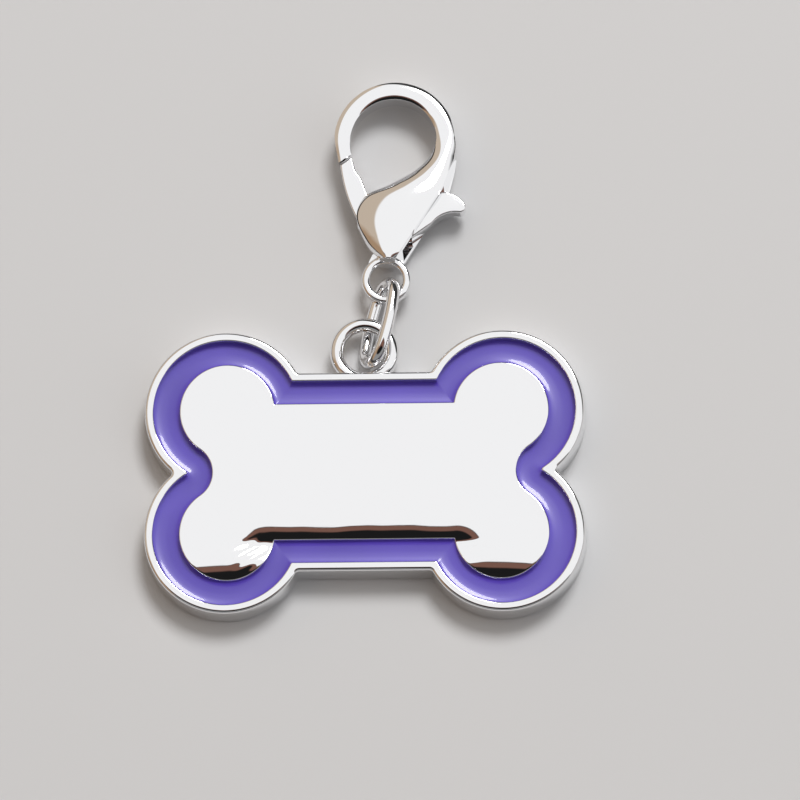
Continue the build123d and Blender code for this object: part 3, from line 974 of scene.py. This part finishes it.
RIGHT_EDGE = (0.62, 0.68)
LOW_EDGE = (0.1, 0.2)           # height, below which the tent is black
UP = (0, 0, 1)
BOTH_WAYS = (-1, 1)             # range of how far a direction points a given way

KEY_AZIMUTH = 22            # degrees, 0 behind the part and 90 to its right
KEY_ELEVATION = 56
KEY_DISTANCE = 1.2          # metres
KEY_SIZE = 0.45             # metres across
KEY_WATTS = 8.5


def ramp(tree, source, stops):
    """A colour that changes with a value."""
    colours = tree.nodes.new("ShaderNodeValToRGB")
    band = colours.color_ramp
    while len(band.elements) < len(stops):
        band.elements.new(0.5)
    for element, (place, colour) in zip(band.elements, stops):
        element.position = place
        element.color = (*colour, 1)
    tree.links.new(source, colours.inputs["Fac"])
    return colours.outputs["Color"]


def above(tree, source, start, end):
    """A share that rises from none to full between two values."""
    return ramp(tree, source, ((0.0, NONE), (start, NONE), (end, FULL), (1.0, FULL)))


def below(tree, source, start, end):
    """A share that falls from full to none between two values."""
    return ramp(tree, source, ((0.0, FULL), (start, FULL), (end, NONE), (1.0, NONE)))


def towards(tree, place, way):
    """How far a direction of the sky points a given way."""
    along = tree.nodes.new("ShaderNodeVectorMath")
    along.operation = "DOT_PRODUCT"
    along.inputs[1].default_value = way
    tree.links.new(place, along.inputs[0])
    return along.outputs["Value"]


def picked(tree, first, second, rule):
    """The larger or the smaller of two values."""
    pick = tree.nodes.new("ShaderNodeMath")
    pick.operation = rule
    tree.links.new(first, pick.inputs[0])
    tree.links.new(second, pick.inputs[1])
    return pick.outputs["Value"]


def tent():
    world = bpy.data.worlds.new("tent")
    bpy.context.scene.world = world
    world.use_nodes = True
    tree = world.node_tree
    place = tree.nodes.new("ShaderNodeTexCoord").outputs["Generated"]
    height = towards(tree, place, UP)
    rear, rear_right = (towards(tree, place, way) for way in REAR_WAYS)
    depth = between(tree, picked(tree, rear, rear_right, "MAXIMUM"), 0, 1, BOTH_WAYS)
    tone = ramp(tree, depth, FRONT_TO_REAR)
    pale_front = picked(tree, below(tree, depth, *FRONT_EDGE), below(tree, height, *STEEP_EDGE), "MINIMUM")
    tone = mixed(tree, pale_front, tone, PALE)
    side = ramp(tree, between(tree, rear, 0, 1, BOTH_WAYS), SIDE_FRONT_TO_REAR)
    tone = mixed(tree, above(tree, towards(tree, place, LEFT_WAY), *LEFT_EDGE), tone, side)
    tone = mixed(tree, above(tree, towards(tree, place, RIGHT_WAY), *RIGHT_EDGE), tone, DIM)
    tone = mixed(tree, below(tree, height, *LOW_EDGE), tone, BLACK)
    tree.links.new(tone, tree.nodes["Background"].inputs["Color"])


def key_lamp():
    """A round lamp behind the part's right, aimed at it."""
    azimuth, elevation = radians(KEY_AZIMUTH), radians(KEY_ELEVATION)
    away = Vector((sin(azimuth) * cos(elevation), cos(azimuth) * cos(elevation), sin(elevation)))
    lamp = bpy.data.lights.new("key", "AREA")
    lamp.shape = "DISK"
    lamp.size = KEY_SIZE
    lamp.energy = KEY_WATTS
    holder = in_scene("key", lamp)
    holder.location = away * KEY_DISTANCE
    holder.rotation_euler = away.to_track_quat("Z", "Y").to_euler()


tent()
key_lamp()


# Camera

TARGET = Vector((3.218, 6.967, 1.6)) * MM
TILT, YAW, ROLL = radians(14.013), radians(2.008), radians(-0.097)
DISTANCE = 0.6              # metres
CLIP_START = 0.01
SENSOR = 36.0
IMAGE = 800                 # pixels
FOCAL_PIXELS = 6579


def camera():
    away = Vector((sin(YAW), -sin(TILT) * cos(YAW), cos(TILT) * cos(YAW)))
    right = Vector((0, 1, 0)).cross(away).normalized()
    up = away.cross(right)
    right, up = right * cos(ROLL) + up * sin(ROLL), up * cos(ROLL) - right * sin(ROLL)
    lens = bpy.data.cameras.new("camera")
    lens.sensor_width = SENSOR
    lens.lens = SENSOR * FOCAL_PIXELS / IMAGE
    lens.clip_start = CLIP_START
    holder = in_scene("camera", lens)
    turn = Matrix((right, up, away)).transposed().to_4x4()
    holder.matrix_world = Matrix.Translation(TARGET + away * DISTANCE) @ turn
    bpy.context.scene.camera = holder


camera()
bpy.context.scene.view_settings.view_transform = "Standard"
